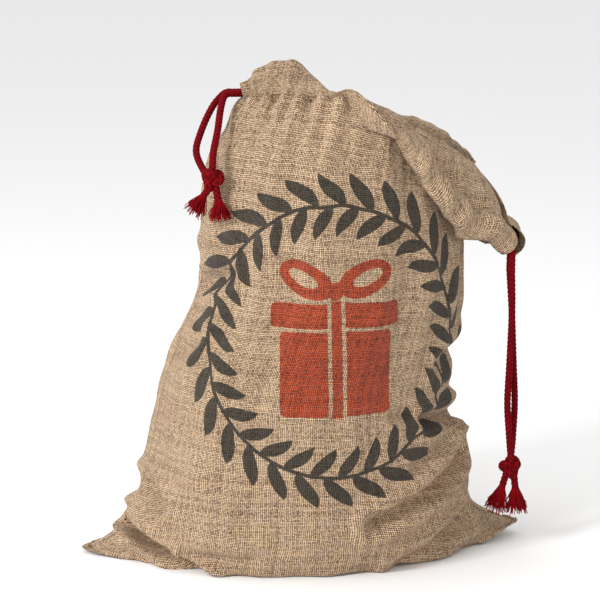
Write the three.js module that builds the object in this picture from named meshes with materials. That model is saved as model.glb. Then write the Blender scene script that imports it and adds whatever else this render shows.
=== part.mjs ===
// Drawstring gift sack of coarse linen, standing filled, with its mouth turned down on one side.
// Millimetres, +Z up, +X to the viewer's right, -Y to the front.
// The origin lies on the floor, under the middle of the bottom seam.
import * as THREE from 'three';

// ---------- driving dimensions ----------
const sackWidth = 352;        // belly from side to side, without the corner ears
const sackDepth = 250;        // belly from front to back
const sackHeight = 500;       // floor to the top of the neck
const clothThickness = 2.4;   // coarse linen with its nap
const clearance = 0.4;        // gap kept between pieces that touch
const earReach = 66;          // how far a bottom corner sticks out
const earHeight = 55;         // height at which an ear has faded away
const earSharpness = 12;      // higher is more pointed
const earFade = 1.5;          // higher makes an ear fade faster with height
const crownFade = 1.5;        // higher makes the front's crown narrower
const seamWidth = 4.6;        // turned-in edges of both panels, pressed together
const seamProud = 1.2;        // how far a side seam stands out of the cloth
const bottomSeamHeight = 6;
const bottomSeamShort = 8;    // the bottom seam stops this far inside each ear tip
const cordDiameter = 7.4;     // braided cotton drawcord
const cordPlay = 4.8;         // room for the cord inside the hem's channel
const hemWall = 1.8;          // one turned layer of the hem
const hemHeight = 36;         // drawcord channel, from the neck to the free edge
const cuffShortDrop = 40;     // turned-down hem where the fold begins
const cuffLongDrop = 92;      // turned-down hem at its longest
const cuffFlare = 36;         // how far the long hem stands off the body at its edge
const cuffFlareCurve = 1.3;   // higher keeps the flare nearer to the free edge
const cuffSlack = 3;          // between the body and the turned-down hem
const cordLift = 3.5;         // a cord over the bottom of the upright channel
const cordApart = 2.5;        // between the two cords of the upright channel
const cuffCordLift = 6;       // over the bottom of the turned-down channel, and between its cords
const exitPlay = 1.9;         // beside the two cord ends that leave through one gap in the hem
const knotRadius = 10.5;
const knotHalfHeight = 13;
const leftTailLength = 27;
const rightTailLength = 37;
const frayedRadius = 5.6;
const frayStart = 0.45;       // share of a tail's length where its threads come loose
const frayFull = 0.8;         // share where they are spread the widest
const frayEnd = 0.8;          // width of the very end, as a share of the widest place

// ---------- derived sizes ----------
const halfWidth = sackWidth / 2;
const halfDepth = sackDepth / 2;
const cordRadius = cordDiameter / 2;
const exitGap = cordDiameter + exitPlay;   // half the gap in the hem at an exit
const hemHollow = cordDiameter + cordPlay;
const hemThickness = hemHollow + 2 * hemWall;
const nearCordRise = hemWall + cordLift + cordRadius;
const farCordRise = nearCordRise + cordDiameter + cordApart;
const edgeCordRise = hemWall + cuffCordLift + cordRadius;
const upperCordRise = edgeCordRise + cordDiameter + cuffCordLift;
const cuffStandOff = hemThickness / 2 + cuffSlack;
const cuffReach = halfDepth + hemThickness;   // from the middle of the mouth to the cuff's face
const degrees = Math.PI / 180;

// Turns are measured in degrees round the mouth from the left seam towards the right one.
const collarEnd = 98;
const cuffStart = 116;
const flareStart = 142;
const fullDropTurn = 150;
const flareEnd = 162;
const rightExitTurn = 163;
const front = -1;
const back = 1;
const exitTurn = { [front]: rightExitTurn, [back]: 360 - rightExitTurn };

// ---------- materials ----------
const linen = new THREE.MeshStandardMaterial({ color: 0xb79c79, roughness: 0.95, metalness: 0 });
const linenHem = new THREE.MeshStandardMaterial({ color: 0xab8f6c, roughness: 0.95, metalness: 0 });
const linenSeam = new THREE.MeshStandardMaterial({ color: 0x9b8060, roughness: 0.95, metalness: 0 });
const redCotton = new THREE.MeshStandardMaterial({ color: 0x9c1018, roughness: 0.85, metalness: 0 });

// ---------- the body's shape ----------
// Each station is a slice through the sack, from the floor to the neck. It gives the slice's
// left and right ends as shares of the half width and the height, its half depth as a share
// of the belly's, and how far its front stands up above its ends as a share of the height.
const stations = [
  { left: [-0.90, 0.00], right: [0.96, 0.00], depth: 0.84, crown: 0 },
  { left: [-0.97, 0.03], right: [1.04, 0.03], depth: 0.95, crown: 0 },
  { left: [-0.96, 0.10], right: [1.06, 0.10], depth: 1.00, crown: 0 },
  { left: [-0.93, 0.20], right: [1.03, 0.20], depth: 1.00, crown: 0 },
  { left: [-0.86, 0.33], right: [0.92, 0.32], depth: 0.98, crown: 0 },
  { left: [-0.80, 0.42], right: [0.90, 0.41], depth: 0.97, crown: 0 },
  { left: [-0.70, 0.51], right: [0.95, 0.50], depth: 0.97, crown: 0 },
  { left: [-0.57, 0.61], right: [1.01, 0.59], depth: 0.97, crown: 0 },
  { left: [-0.58, 0.71], right: [1.03, 0.67], depth: 0.95, crown: 0 },
  { left: [-0.60, 0.79], right: [1.02, 0.73], depth: 0.89, crown: 0.01 },
  { left: [-0.55, 0.865], right: [1.01, 0.775], depth: 0.80, crown: 0.03 },
  { left: [-0.44, 0.925], right: [1.01, 0.80], depth: 0.68, crown: 0.055 },
  { left: [-0.34, 0.965], right: [1.02, 0.82], depth: 0.54, crown: 0.08 },
];
const leftEdge = new THREE.CatmullRomCurve3(stations.map((slice) => new THREE.Vector3(
  slice.left[0] * halfWidth, slice.depth * halfDepth, slice.left[1] * sackHeight)));
const rightEdge = new THREE.CatmullRomCurve3(stations.map((slice) => new THREE.Vector3(
  slice.right[0] * halfWidth, slice.crown * sackHeight, slice.right[1] * sackHeight)));

// A point of the body: rise is 0 at the floor and 1 at the neck, angle is 0 at the right seam
// and 270 at the front, inset is measured inwards from the outer face.
function bodyPoint(rise, angle, inset) {
  const left = leftEdge.getPoint(rise);
  const right = rightEdge.getPoint(rise);
  const across = new THREE.Vector2(right.x - left.x, right.z - left.z).multiplyScalar(0.5);
  const half = across.length();
  const cosine = Math.cos(angle * degrees);
  const sine = Math.sin(angle * degrees);
  const height = (left.z + right.z) / 2;
  const earShare = Math.max(0, 1 - height / earHeight) ** earFade;
  const ear = earReach * earShare * Math.abs(cosine) ** earSharpness;
  const reach = (half - inset + ear) * cosine / half;
  const crown = right.y * Math.max(0, -sine) ** crownFade;
  return new THREE.Vector3(
    (left.x + right.x) / 2 + across.x * reach,
    (left.y - inset) * sine,
    height + across.y * reach + crown);
}

// ---------- closed solids from grids of points ----------
function solidFromFaces(points, faces) {
  let volume = 0;
  for (const [a, b, c] of faces) {
    volume += points[a].dot(points[b].clone().cross(points[c]));
  }
  const index = faces.flatMap(([a, b, c]) => (volume > 0 ? [a, b, c] : [a, c, b]));
  const geometry = new THREE.BufferGeometry();
  geometry.setAttribute('position', new THREE.Float32BufferAttribute(
    points.flatMap((point) => point.toArray()), 3));
  geometry.setIndex(index);
  geometry.computeVertexNormals();
  return geometry;
}

function addQuad(faces, a, b, c, d) {
  faces.push([a, b, c], [a, c, d]);
}

// A sheet with thickness: two grids of the same size, joined round their edges.
function thickSheet(outer, inner) {
  const rows = outer.length;
  const columns = outer[0].length;
  const points = [...outer.flat(), ...inner.flat()];
  const faces = [];
  const at = (layer, row, column) => layer * rows * columns + row * columns + column;
  for (let row = 0; row + 1 < rows; row += 1) {
    for (let column = 0; column + 1 < columns; column += 1) {
      addQuad(faces, at(0, row, column), at(0, row, column + 1),
        at(0, row + 1, column + 1), at(0, row + 1, column));
      addQuad(faces, at(1, row, column), at(1, row + 1, column),
        at(1, row + 1, column + 1), at(1, row, column + 1));
    }
  }
  for (let column = 0; column + 1 < columns; column += 1) {
    addQuad(faces, at(0, 0, column), at(1, 0, column), at(1, 0, column + 1), at(0, 0, column + 1));
    addQuad(faces, at(0, rows - 1, column), at(0, rows - 1, column + 1),
      at(1, rows - 1, column + 1), at(1, rows - 1, column));
  }
  for (let row = 0; row + 1 < rows; row += 1) {
    addQuad(faces, at(0, row, 0), at(0, row + 1, 0), at(1, row + 1, 0), at(1, row, 0));
    addQuad(faces, at(0, row, columns - 1), at(1, row, columns - 1),
      at(1, row + 1, columns - 1), at(0, row + 1, columns - 1));
  }
  return solidFromFaces(points, faces);
}

// A bar: rings of points joined along their length and closed at both ends.
function bar(rings) {
  const size = rings[0].length;
  const faces = [];
  const at = (ring, corner) => ring * size + (corner % size);
  for (let ring = 0; ring + 1 < rings.length; ring += 1) {
    for (let corner = 0; corner < size; corner += 1) {
      addQuad(faces, at(ring, corner), at(ring, corner + 1),
        at(ring + 1, corner + 1), at(ring + 1, corner));
    }
  }
  for (let corner = 1; corner + 1 < size; corner += 1) {
    faces.push([at(0, 0), at(0, corner + 1), at(0, corner)]);
    faces.push([at(rings.length - 1, 0), at(rings.length - 1, corner), at(rings.length - 1, corner + 1)]);
  }
  return solidFromFaces(rings.flat(), faces);
}

// A channel: a hollow bar, open at both ends, from matching outer and inner rings.
function channel(outer, inner) {
  const size = outer[0].length;
  const last = outer.length - 1;
  const points = [...outer.flat(), ...inner.flat()];
  const faces = [];
  const at = (layer, ring, corner) => (layer * outer.length + ring) * size + (corner % size);
  for (let ring = 0; ring < last; ring += 1) {
    for (let corner = 0; corner < size; corner += 1) {
      addQuad(faces, at(0, ring, corner), at(0, ring, corner + 1),
        at(0, ring + 1, corner + 1), at(0, ring + 1, corner));
      addQuad(faces, at(1, ring, corner), at(1, ring + 1, corner),
        at(1, ring + 1, corner + 1), at(1, ring, corner + 1));
    }
  }
  for (let corner = 0; corner < size; corner += 1) {
    addQuad(faces, at(0, 0, corner), at(1, 0, corner), at(1, 0, corner + 1), at(0, 0, corner + 1));
    addQuad(faces, at(0, last, corner), at(0, last, corner + 1),
      at(1, last, corner + 1), at(1, last, corner));
  }
  return solidFromFaces(points, faces);
}

// ---------- cloth ----------
const panelColumns = 22;
const wallRows = 18;
const baseRows = 3;
const seamSide = seamWidth / 2 + clearance;   // a panel starts this far from the seam's middle

function panelPoint(rise, share, side, inset) {
  const middle = bodyPoint(rise, 90 * side, inset);
  const start = Math.asin(seamSide / Math.abs(middle.y)) / degrees;
  const angle = (start + share * (180 - 2 * start)) * side;
  return bodyPoint(rise, angle, inset);
}

// The wall of one panel, from its floor edge up to the neck, and its half of the flat base.
function panel(side) {
  const layer = (inset) => {
    const rows = [];
    for (let row = 0; row < baseRows; row += 1) {
      const edge = [];
      for (let column = 0; column <= panelColumns; column += 1) {
        const point = panelPoint(0, column / panelColumns, side, inset);
        const reach = (Math.abs(point.y) - seamSide) * row / baseRows;
        edge.push(new THREE.Vector3(point.x, side * (seamSide + reach), inset));
      }
      rows.push(edge);
    }
    for (let row = 0; row <= wallRows; row += 1) {
      const wall = [];
      for (let column = 0; column <= panelColumns; column += 1) {
        const point = panelPoint(row / wallRows, column / panelColumns, side, inset);
        point.z = Math.max(point.z, inset);
        wall.push(point);
      }
      rows.push(wall);
    }
    return rows;
  };
  return thickSheet(layer(0), layer(clothThickness));
}

// The bottom seam lies on the floor between the two halves of the base.
function bottomSeam() {
  const rings = [180, 0].map((angle) => {
    const tip = bodyPoint(0, angle, bottomSeamShort).x;
    return [[-1, 0], [1, 0], [1, bottomSeamHeight], [-1, bottomSeamHeight]].map(
      ([edge, height]) => new THREE.Vector3(tip, edge * seamWidth / 2, height));
  });
  return bar(rings);
}

// A side seam climbs from the ear to the neck between the edges of the panels.
function sideSeam(angle) {
  const rings = [];
  const firstHeight = bottomSeamHeight + clearance;
  for (let row = 0; row <= wallRows; row += 1) {
    const outer = bodyPoint(row / wallRows, angle, -seamProud);
    const inner = bodyPoint(row / wallRows, angle, clothThickness + seamProud);
    outer.z = Math.max(outer.z, firstHeight);
    inner.z = Math.max(inner.z, firstHeight);
    rings.push([[outer, -1], [outer, 1], [inner, 1], [inner, -1]].map(
      ([point, edge]) => new THREE.Vector3(point.x, edge * seamWidth / 2, point.z)));
  }
  return bar(rings);
}

// ---------- hem: an upright collar on the left, a turned-down cuff on the right ----------
function smoothStep(from, to, value) {
  const share = Math.min(1, Math.max(0, (value - from) / (to - from)));
  return share * share * (3 - 2 * share);
}

function angleAt(turn, side) {
  return side === front ? 180 + turn : 180 - turn;
}

function collarPoint(turn, side, above, inset) {
  const point = bodyPoint(1, angleAt(turn, side), inset);
  point.z += above;
  return point;
}

function cuffDrop(turn) {
  return cuffShortDrop + (cuffLongDrop - cuffShortDrop) * smoothStep(cuffStart, fullDropTurn, turn);
}

// The share of the body's rise that lies a given height below the neck.
function riseBelowNeck(angle, below) {
  const target = bodyPoint(1, angle, 0).z - below;
  let low = 0.5;
  let high = 1;
  for (let halving = 0; halving < 30; halving += 1) {
    const middle = (low + high) / 2;
    if (bodyPoint(middle, angle, 0).z > target) high = middle;
    else low = middle;
  }
  return (low + high) / 2;
}

// A point of the cuff: aboveEdge is the height over its free edge, outward is measured from
// the middle of its thickness.
function cuffPoint(turn, side, aboveEdge, outward) {
  const angle = angleAt(turn, side);
  const drop = cuffDrop(turn);
  const below = drop - aboveEdge;
  const flareShare = smoothStep(flareStart, flareEnd, turn) * Math.max(0, below / drop) ** cuffFlareCurve;
  const flare = cuffFlare * flareShare;
  return bodyPoint(riseBelowNeck(angle, below), angle, -(cuffStandOff + flare + outward));
}

function turnsBetween(from, to, steps) {
  return Array.from({ length: steps + 1 }, (_, step) => from + (to - from) * step / steps);
}

// The turn at which a hem's cut end is exitGap away from the middle of the exit.
const leftGapTurn = Math.asin(exitGap / (bodyPoint(1, 90, hemThickness).y)) / degrees;
const rightGapTurn = exitGap / cuffReach / degrees;

const collarSteps = 16;
const cuffSteps = { [front]: 14, [back]: 22 };

function collar(side) {
  const section = (turn, wall) => [
    collarPoint(turn, side, clearance + wall, wall),
    collarPoint(turn, side, clearance + hemHeight - wall, wall),
    collarPoint(turn, side, clearance + hemHeight - wall, hemThickness - wall),
    collarPoint(turn, side, clearance + wall, hemThickness - wall),
  ];
  const turns = turnsBetween(leftGapTurn, collarEnd, collarSteps);
  return channel(turns.map((turn) => section(turn, 0)), turns.map((turn) => section(turn, hemWall)));
}

function cuff(side) {
  const levels = [0, 0.2, 0.4, 0.6, 0.8, 1];
  const section = (turn, wall) => {
    const height = cuffDrop(turn) - 2 * wall;
    const outside = hemThickness / 2 - wall;
    const outer = levels.map((level) => cuffPoint(turn, side, wall + level * height, outside));
    const inner = levels.map((level) => cuffPoint(turn, side, wall + level * height, -outside));
    return [...outer, ...inner.reverse()];
  };
  const turns = turnsBetween(cuffStart, exitTurn[side] - rightGapTurn, cuffSteps[side]);
  return channel(turns.map((turn) => section(turn, 0)), turns.map((turn) => section(turn, hemWall)));
}

// ---------- cords ----------
function cordSection() {
  const corners = 8;
  return new THREE.Shape(Array.from({ length: corners }, (_, corner) => new THREE.Vector2(
    cordRadius * Math.cos(2 * Math.PI * (corner + 0.5) / corners),
    cordRadius * Math.sin(2 * Math.PI * (corner + 0.5) / corners))));
}

const routeSpacing = 1.5 * cordDiameter;    // between the rings of a cord inside the hem
const strandSpacing = 2.4 * cordDiameter;

function cordTube(points, spacing = strandSpacing) {
  const route = new THREE.CatmullRomCurve3(points, false, 'centripetal');
  const steps = Math.max(2, Math.ceil(route.getLength() / spacing));
  return new THREE.ExtrudeGeometry(cordSection(), { steps, extrudePath: route, bevelEnabled: false });
}

// Where the two ends of each cord leave the hem, side by side.
const exitSpread = cordRadius + 1.4;
const exitStub = 6;
const bareEnd = 0.2;          // a left cord end comes this far out of the hem
const leadGap = 0.3;          // between a cord end inside the hem and its lead

function leftExit(side) {
  const neck = collarPoint(0, front, nearCordRise, 0);
  return new THREE.Vector3(neck.x, side * exitSpread, neck.z);
}

function leftCordEnd(side) {
  const exit = leftExit(side);
  return [
    new THREE.Vector3(exit.x - bareEnd, exit.y, exit.z),
    new THREE.Vector3(exit.x + 0.8 * exitStub, exit.y, exit.z),
  ];
}

function rightExit(side) {
  const edge = cuffPoint(rightExitTurn, front, 0, 0);
  return new THREE.Vector3(edge.x, edge.y + side * exitSpread, edge.z - exitStub);
}

function rightCordEnd(side) {
  const exit = rightExit(side);
  return [
    new THREE.Vector3(exit.x, exit.y, exit.z + 1),
    new THREE.Vector3(exit.x, exit.y, exit.z + exitStub),
  ];
}

// A cord's way over the fold, in turns: out of the collar, over the neck, down to the cuff.
const leaveCollar = collarEnd + 6;
const overNeck = collarEnd + 10;
const reachCuff = cuffStart - 3;
const insideCuff = cuffStart + 2;
const overNeckDip = 4;
const overNeckApart = 5;      // between the two cords where they cross the neck
const crossingLift = 3;       // a cord's extra height where it comes down to the cuff
const collarPoints = 9;
const cuffPoints = 14;
const leftCordStart = leftGapTurn + 4;
const rightCordTurnBack = 2;
const cordEntry = 1.8;        // a right cord end is this far inside the cut end of its hem
const leftCordTurnBack = { [front]: 4, [back]: 8 };
const rightCordStart = rightGapTurn + cordEntry / cuffReach / degrees;

// The left cord runs on the neck's side of both channels, and both of its ends leave at the left.
function leftCordRoute() {
  const half = (side) => [
    ...turnsBetween(leftCordStart, collarEnd, collarPoints).map((turn) =>
      collarPoint(turn, side, nearCordRise, hemThickness / 2)),
    collarPoint(leaveCollar, side, nearCordRise + 1, hemThickness / 4),
    collarPoint(overNeck, side, nearCordRise, -cordRadius),
    cuffPoint(reachCuff, side, upperCordRise + crossingLift, 0),
    ...turnsBetween(insideCuff, exitTurn[side] - leftCordTurnBack[side], cuffPoints).map((turn) =>
      cuffPoint(turn, side, upperCordRise, 0)),
  ];
  return [...leftCordEnd(front), ...half(front), ...half(back).reverse(), ...leftCordEnd(back).reverse()];
}

// The right cord runs on the free edge's side, and both of its ends leave at the right.
function rightCordRoute() {
  const half = (side) => [
    ...turnsBetween(rightCordTurnBack, collarEnd, collarPoints).map((turn) =>
      collarPoint(turn, side, farCordRise, hemThickness / 2)),
    collarPoint(leaveCollar, side, farCordRise, 0),
    collarPoint(overNeck, side, farCordRise - overNeckDip, -cordDiameter - overNeckApart),
    cuffPoint(reachCuff, side, edgeCordRise + crossingLift, 3),
    ...turnsBetween(insideCuff, exitTurn[side] - rightCordStart, cuffPoints).map((turn) =>
      cuffPoint(turn, side, edgeCordRise, 0)),
  ];
  return [...rightCordEnd(front), ...half(front).reverse(), ...half(back), ...rightCordEnd(back).reverse()];
}

// A lead is the short straight stretch that passes through the gap in the hem.
const leadLength = 9;
const swingGap = 0.6;         // lets a strand turn against its lead

function lead(exit, outward) {
  const start = exit.clone().addScaledVector(outward, leadGap);
  const end = exit.clone().addScaledVector(outward, leadLength);
  return cordTube([start, start.clone().lerp(end, 0.5), end]);
}

// A strand hangs from its lead to the knot. Its points are measured from the lead's outer end.
function strand(exit, outward, offsets) {
  const start = exit.clone().addScaledVector(outward, leadLength + swingGap);
  const points = offsets.map(([x, y, z]) => start.clone().add(new THREE.Vector3(x, y, z)));
  return cordTube([start, ...points]);
}

function knot(centre) {
  const geometry = new THREE.SphereGeometry(1, 12, 8);
  geometry.scale(knotRadius, knotRadius, knotHalfHeight);
  geometry.translate(centre.x, centre.y, centre.z);
  return geometry;
}

// A tail leaves the knot as cord and opens into loose threads at its end.
function tail(start, direction, tailLength) {
  const profile = [[0, 0], [cordRadius, 0], [cordRadius, tailLength * frayStart],
    [frayedRadius, tailLength * frayFull], [frayedRadius * frayEnd, tailLength], [0, tailLength]];
  const geometry = new THREE.LatheGeometry(profile.map(([x, y]) => new THREE.Vector2(x, y)), 8);
  const up = new THREE.Vector3(0, 1, 0);
  geometry.applyQuaternion(new THREE.Quaternion().setFromUnitVectors(up, direction.clone().normalize()));
  geometry.translate(start.x, start.y, start.z);
  return geometry;
}

const outwardLeft = new THREE.Vector3(-1, 0, 0);
const outwardRight = new THREE.Vector3(0, 0, -1);

// Ways of the strands and places of the knots, from the outer end of a lead.
const leftStrandFront = [
  [-3, 0, 0], [-8, -3, -3], [-13, -16, -14], [-18, -33, -33], [-24, -48, -52], [-26, -57, -64.2],
];
const leftStrandBack = [
  [-3, 0, 0], [-9, -2, -3], [-20, -10, -14], [-32, -24, -34], [-40, -41, -54], [-35, -56, -70],
];
const leftKnotOffset = new THREE.Vector3(-27, -62, -79);

const rightStrandFront = [
  [0, 0, -4], [1, 0, -45], [0, 0, -100], [-1, 0, -145], [1, 0, -180], [2.7, 0, -204],
];
const rightStrandBack = [
  [0, 0, -4], [3, 0, -45], [5, 0, -100], [6.6, 0, -145], [6.6, 0, -180], [5.7, 0, -204],
];
const rightKnotOffset = new THREE.Vector3(3.7, 0, -218);

function below(centre, offset) {
  return centre.clone().add(new THREE.Vector3(...offset));
}

// ---------- assembly ----------
const sack = new THREE.Group();

function addPiece(name, geometry, material) {
  const mesh = new THREE.Mesh(geometry, material);
  mesh.name = name;
  sack.add(mesh);
}

addPiece('front_panel', panel(front), linen);
addPiece('back_panel', panel(back), linen);
addPiece('bottom_seam', bottomSeam(), linenSeam);
addPiece('left_side_seam', sideSeam(180), linenSeam);
addPiece('right_side_seam', sideSeam(0), linenSeam);
addPiece('front_collar_hem', collar(front), linenHem);
addPiece('back_collar_hem', collar(back), linenHem);
addPiece('front_cuff_hem', cuff(front), linenHem);
addPiece('back_cuff_hem', cuff(back), linenHem);
addPiece('left_cord_in_hem', cordTube(leftCordRoute(), routeSpacing), redCotton);
addPiece('right_cord_in_hem', cordTube(rightCordRoute(), routeSpacing), redCotton);

function addPull(name, exit, outward, frontOffsets, backOffsets, knotOffset, tailLength, tails) {
  addPiece(`${name}_lead_front`, lead(exit(front), outward), redCotton);
  addPiece(`${name}_lead_back`, lead(exit(back), outward), redCotton);
  addPiece(`${name}_strand_front`, strand(exit(front), outward, frontOffsets), redCotton);
  addPiece(`${name}_strand_back`, strand(exit(back), outward, backOffsets), redCotton);
  const middle = exit(front).lerp(exit(back), 0.5).addScaledVector(outward, leadLength);
  const centre = middle.add(knotOffset);
  addPiece(`${name}_knot`, knot(centre), redCotton);
  for (const { label, start, direction } of tails) {
    const loose = tail(below(centre, start), new THREE.Vector3(...direction), tailLength);
    addPiece(`${name}_tail_${label}`, loose, redCotton);
  }
}

addPull('left', leftExit, outwardLeft, leftStrandFront, leftStrandBack, leftKnotOffset, leftTailLength, [
  { label: 'outer', start: [-6, -1, -12.5], direction: [-0.55, 0.1, -0.85] },
  { label: 'inner', start: [4, -3, -13.5], direction: [0.1, -0.1, -1] },
]);
addPull('right', rightExit, outwardRight, rightStrandFront, rightStrandBack, rightKnotOffset, rightTailLength, [
  { label: 'inner', start: [-6, 0, -12.8], direction: [-0.3, 0, -0.95] },
  { label: 'outer', start: [4.5, 0, -13.4], direction: [0.05, 0, -1] },
]);

export default sack;
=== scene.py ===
import math

import bpy
import numpy as np
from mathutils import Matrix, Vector


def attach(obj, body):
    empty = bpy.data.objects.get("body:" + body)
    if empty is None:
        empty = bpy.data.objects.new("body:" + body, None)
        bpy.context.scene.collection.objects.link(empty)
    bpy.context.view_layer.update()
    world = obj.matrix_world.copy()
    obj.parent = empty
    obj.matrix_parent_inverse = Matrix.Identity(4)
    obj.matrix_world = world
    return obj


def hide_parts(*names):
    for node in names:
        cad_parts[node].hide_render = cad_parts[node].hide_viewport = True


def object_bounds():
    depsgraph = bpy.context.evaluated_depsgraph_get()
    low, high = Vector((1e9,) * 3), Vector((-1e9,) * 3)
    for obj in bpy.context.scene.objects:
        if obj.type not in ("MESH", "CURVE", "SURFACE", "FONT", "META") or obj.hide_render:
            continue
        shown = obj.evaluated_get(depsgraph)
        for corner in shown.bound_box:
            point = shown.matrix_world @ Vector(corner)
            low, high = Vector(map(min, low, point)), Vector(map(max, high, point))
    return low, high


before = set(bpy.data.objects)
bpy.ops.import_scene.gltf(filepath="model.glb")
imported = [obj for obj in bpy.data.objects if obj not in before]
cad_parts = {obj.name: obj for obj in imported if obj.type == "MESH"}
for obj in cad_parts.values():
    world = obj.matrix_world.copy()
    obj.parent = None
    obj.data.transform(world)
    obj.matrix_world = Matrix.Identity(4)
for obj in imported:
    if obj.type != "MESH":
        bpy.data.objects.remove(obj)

CAD_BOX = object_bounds()
MM = 0.001

# ---------- sizes, in metres ----------
HALF_WIDTH = 0.176        # of the belly
HALF_DEPTH = 0.125
HEIGHT = 0.500            # floor to neck
CLOTH = 0.0013            # thickness of one layer of linen
LOWEST = 0.0006           # the base's height above the floor
EAR_REACH = 0.074         # how far a bottom corner juts out past the side
EAR_HEIGHT = 0.055        # the height at which the corner has faded out
EAR_SHARPNESS = 12        # power that narrows the corner towards its seam
CORD = 0.0074             # drawcord diameter
BRAID_PITCH = 0.0095      # length in which a strand winds once round the cord
BRAID_GROOVE = 0.64       # share of the radius at the bottom of a groove between strands
BRAID_SWELL = 0.38        # what a strand's crown adds to it
HEM_HEIGHT = 0.036
HEM_ROOM = 0.0118         # hollow of the drawcord channel
HEM_THICKNESS = 0.0158    # of the whole hem, both layers and the hollow
CUFF_SHORT = 0.019        # drop of the turned-down hem where it starts to fold
CUFF_LONG = 0.092         # and at its cut end
CUFF_FLARE = 0.036        # how far its free edge stands out at the cut end
CUFF_STAND_OFF = HEM_THICKNESS / 2 + 0.003
COLLAR_END = 98.0         # turns, in degrees round the mouth from the left seam
CUFF_START = 116.0
SCALLOP_START = 140.0
FLARE_START = 142.0
FULL_DROP_TURN = 156.0
FLARE_END = 162.0
RIGHT_EXIT_TURN = 163.0
LEFT_GAP = 9.5            # turns between the left seam and the collar's cut ends
RIGHT_GAP = 3.6
FRONT, BACK = -1, 1

# Slices of the body from floor to neck: left end, right end, half depth and front crown.
STATIONS = np.array([
    (-0.90, 0.00, 0.96, 0.00, 0.84, 0.0),
    (-0.97, 0.03, 1.04, 0.03, 0.95, 0.0),
    (-0.96, 0.10, 1.06, 0.10, 1.00, 0.0),
    (-0.93, 0.20, 1.03, 0.20, 1.00, 0.0),
    (-0.86, 0.33, 0.92, 0.32, 0.98, 0.0),
    (-0.80, 0.42, 0.90, 0.41, 0.97, 0.0),
    (-0.70, 0.51, 0.95, 0.50, 0.97, 0.0),
    (-0.57, 0.61, 1.01, 0.59, 0.97, 0.0),
    (-0.58, 0.71, 1.03, 0.67, 0.95, 0.0),
    (-0.60, 0.79, 1.02, 0.73, 0.89, 0.01),
    (-0.55, 0.865, 1.01, 0.775, 0.80, 0.03),
    (-0.44, 0.925, 1.01, 0.80, 0.68, 0.055),
    (-0.34, 0.965, 1.02, 0.82, 0.54, 0.08),
]) * np.array([HALF_WIDTH, HEIGHT, HALF_WIDTH, HEIGHT, HALF_DEPTH, HEIGHT])


# ---------- arithmetic on whole arrays ----------
def smooth_step(low, high, value):
    """0 below low, 1 above high, and a cubic ease between them."""
    share = np.clip((np.asarray(value, float) - low) / (high - low), 0.0, 1.0)
    return share * share * (3 - 2 * share)


def spline(points, share):
    """A Catmull-Rom curve through the points; share runs from 0 at the first to 1 at the last."""
    points = np.asarray(points, float)
    last = len(points) - 1
    place = np.clip(np.asarray(share, float), 0, 1) * last
    start = np.minimum(place.astype(int), last - 1)
    step = (place - start)[..., None]
    before = np.where((start > 0)[..., None], points[np.maximum(start - 1, 0)],
                      2 * points[0] - points[1])
    after = np.where((start + 2 <= last)[..., None], points[np.minimum(start + 2, last)],
                     2 * points[last] - points[last - 1])
    here, there = points[start], points[start + 1]
    return 0.5 * (2 * here + (there - before) * step
                  + (2 * before - 5 * here + 4 * there - after) * step ** 2
                  + (3 * here - before - 3 * there + after) * step ** 3)


def waves(u, v, seed, count=7, low=1.0, high=3.0):
    """Soft noise in two parameters: a sum of plane sine waves with random directions."""
    draw = np.random.default_rng(seed)
    total = np.zeros(np.broadcast(u, v).shape)
    for _ in range(count):
        heading, phase = draw.uniform(0, 2 * math.pi, 2)
        pace = draw.uniform(low, high)
        total += np.sin(pace * (u * math.cos(heading) + v * math.sin(heading)) + phase)
    return total / math.sqrt(count)


def fading_window(turn, start, end):
    """1 between two turns; it rises over 12 degrees from the first and falls over 12 from the
    second."""
    return smooth_step(start, start + 12, turn) * (1 - smooth_step(end, end + 12, turn))


def pleat_wave(turn):
    """Pleats of the drawn neck: a sine round the mouth whose spacing comes and goes."""
    return np.sin(np.radians(turn * 33 + 25 * np.sin(np.radians(turn * 5))))


def body_point(rise, angle, inset=0.0):
    """A point of the sack: the slice at rise is an ellipse tilted about Y, with a pointed ear
    at each seam near the floor and a crown that lifts its front near the neck."""
    slices = spline(STATIONS, rise)
    left_x, left_z, right_x, right_z, depth, crown = np.moveaxis(slices, -1, 0)
    across_x, across_z = (right_x - left_x) / 2, (right_z - left_z) / 2
    half = np.hypot(across_x, across_z)
    cosine, sine = np.cos(np.radians(angle)), np.sin(np.radians(angle))
    height = (left_z + right_z) / 2
    ear = EAR_REACH * np.maximum(0, 1 - height / EAR_HEIGHT) ** 1.5 * np.abs(cosine) ** EAR_SHARPNESS
    reach = (half - inset + ear) * cosine / half
    lift = crown * np.maximum(0, -sine) ** 1.5
    return np.stack([(left_x + right_x) / 2 + across_x * reach, (depth - inset) * sine,
                     height + across_z * reach + lift], -1)


def angle_at(turn, side):
    """Turns run from the left seam; the front goes round by 270 degrees and the back by 90."""
    return 180 + turn if side == FRONT else 180 - turn


def cuff_drop(turn):
    """How far the turned-down hem hangs: little where it starts to fold, then more and more,
    with a soft scallop along its free edge."""
    drop = CUFF_SHORT + (CUFF_LONG - CUFF_SHORT) * smooth_step(COLLAR_END - 4, FULL_DROP_TURN, turn)
    scallop = 0.0035 * np.sin(np.radians(turn * 23)) + 0.0035 * np.sin(np.radians(turn * 11 + 40))
    return drop + scallop * smooth_step(CUFF_START, SCALLOP_START, turn)


def rise_below_neck(angle, below):
    """The rise that lies a given height under the neck, found by halving whole arrays."""
    target = body_point(np.ones_like(angle), angle)[..., 2] - below
    low, high = np.full_like(target, 0.5), np.ones_like(target)
    for _ in range(22):
        middle = (low + high) / 2
        above = body_point(middle, angle)[..., 2] > target
        high = np.where(above, middle, high)
        low = np.where(above, low, middle)
    return (low + high) / 2


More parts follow.
